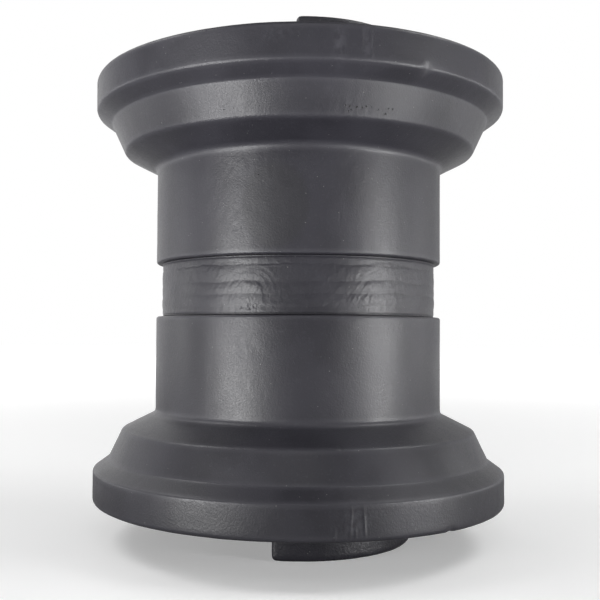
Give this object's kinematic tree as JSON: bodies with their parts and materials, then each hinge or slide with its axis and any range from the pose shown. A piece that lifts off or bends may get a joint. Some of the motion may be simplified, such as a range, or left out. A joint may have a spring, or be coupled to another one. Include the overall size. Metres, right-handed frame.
{
  "type": "track roller",
  "caption": "Double-flange track roller that carries a machine's track frame on its chain; the welded shell spins on a sealed, oil-filled shaft held by D-shaped end collars.",
  "frame": {"origin": "on the roller's axis, at the middle of its length", "axes": "+Z along the roller's axis, towards the upper collar; -X is the outward normal of the lower collar's flat"},
  "size_m": [0.2, 0.2, 0.2408],
  "materials": {
    "shell": "satin dark grey paint over a forged and turned surface",
    "weld": "satin dark grey paint over weld beads",
    "collar": "satin dark grey paint over a cast surface",
    "shaft_steel": "ground",
    "bolt_steel": "black oxide",
    "washer": "zinc plated",
    "bronze": "machined bronze",
    "seal_iron": "lapped face, cast back",
    "seal_rubber": "matt nitrile rubber"
  },
  "bodies": {
    "axle": {"shaft": "shaft_steel", "shaft_o_ring_upper": "seal_rubber", "shaft_o_ring_lower": "seal_rubber", "collar_bolt_upper": "bolt_steel", "collar_bolt_lower": "bolt_steel", "seal_washer_upper": "washer", "seal_washer_lower": "washer"},
    "roller": {"shell_upper": "shell", "shell_lower": "shell", "weld_band": "weld", "bushing_upper": "bronze", "bushing_lower": "bronze", "rotating_seal_ring_upper": "seal_iron", "rotating_seal_ring_lower": "seal_iron", "rotating_seal_toric_upper": "seal_rubber", "rotating_seal_toric_lower": "seal_rubber"},
    "end_collar_upper": {"collar_upper": "collar", "stationary_seal_ring_upper": "seal_iron", "stationary_seal_toric_upper": "seal_rubber"},
    "end_collar_lower": {"collar_lower": "collar", "stationary_seal_ring_lower": "seal_iron", "stationary_seal_toric_lower": "seal_rubber"}
  },
  "joints": [
    {"name": "roller_spin", "type": "hinge", "parent": "axle", "child": "roller", "pos_m": [0, 0, 0], "axis": [0, 0, 1], "continuous": true},
    {"name": "upper_collar_turn", "type": "hinge", "parent": "axle", "child": "end_collar_upper", "pos_m": [0, 0, 0.1], "axis": [0, 0, 1], "continuous": true},
    {"name": "lower_collar_turn", "type": "hinge", "parent": "axle", "child": "end_collar_lower", "pos_m": [0, 0, -0.1], "axis": [0, 0, 1], "continuous": true}
  ]
}
